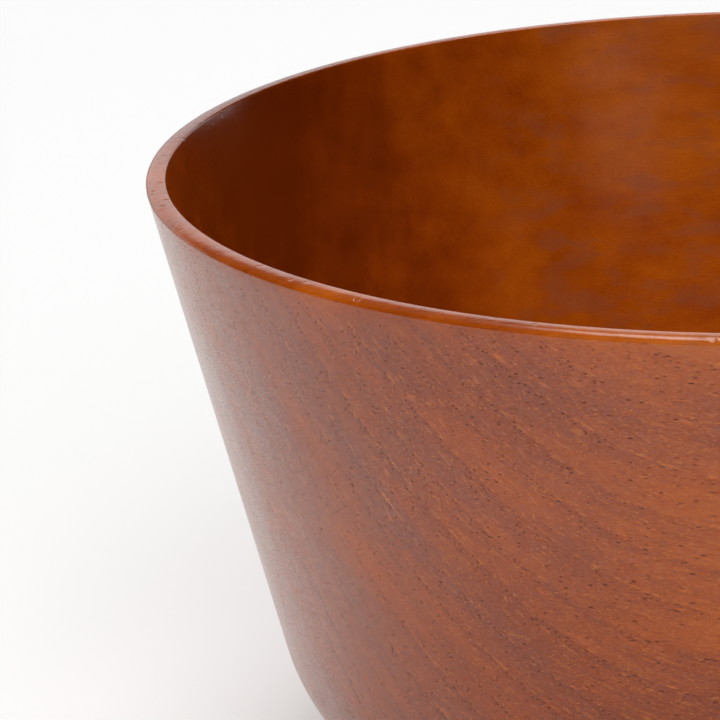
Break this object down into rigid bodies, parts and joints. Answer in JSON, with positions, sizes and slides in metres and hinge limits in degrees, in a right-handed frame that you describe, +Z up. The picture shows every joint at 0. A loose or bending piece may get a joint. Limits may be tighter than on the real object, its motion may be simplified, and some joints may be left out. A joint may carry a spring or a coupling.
{
  "type": "serving bowl",
  "caption": "Deep straight-sided wooden serving bowl, turned from one block, with a thin crowned lip, a soft base corner and a low foot ring.",
  "frame": {"origin": "centre of the circle on the table that the foot ring rests on", "axes": "+Z up along the axis the bowl was turned on; +X and +Y are level and interchangeable"},
  "size_m": [0.18, 0.18, 0.095],
  "materials": {
    "lacquered_wood": "thin satin clear coat wiped into open-pored reddish-brown hardwood"
  },
  "bodies": {
    "root": {"turned_bowl": "lacquered_wood"}
  },
  "joints": []
}
